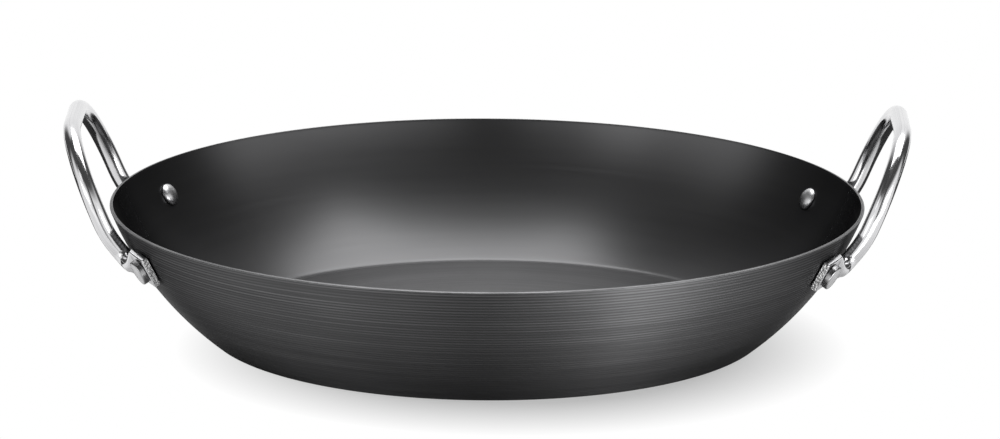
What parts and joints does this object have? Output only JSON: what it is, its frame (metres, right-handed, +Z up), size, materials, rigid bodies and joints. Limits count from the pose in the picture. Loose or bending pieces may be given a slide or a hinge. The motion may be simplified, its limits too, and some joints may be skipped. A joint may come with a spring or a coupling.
{
  "type": "serving pan",
  "caption": "Round shallow serving pan of spun black steel with flared walls, a flat base and riveted bent-rod loop handles on opposite sides.",
  "frame": {"origin": "centre of the underside of the base, on the surface that the pan stands on", "axes": "+Z up along the bowl's axis, X from one handle to the other, Y across"},
  "size_m": [0.39, 0.3496, 0.1039],
  "materials": {
    "black_steel": "dark spun sheet steel, satin, with fine turned rings",
    "polished_steel": "polished stainless rod",
    "rivet_steel": "satin stainless rivet"
  },
  "bodies": {
    "root": {"pan_bowl": "black_steel", "handle_left": "polished_steel", "handle_right": "polished_steel", "rivet_left_front": "rivet_steel", "rivet_left_back": "rivet_steel", "rivet_right_front": "rivet_steel", "rivet_right_back": "rivet_steel"}
  },
  "joints": []
}
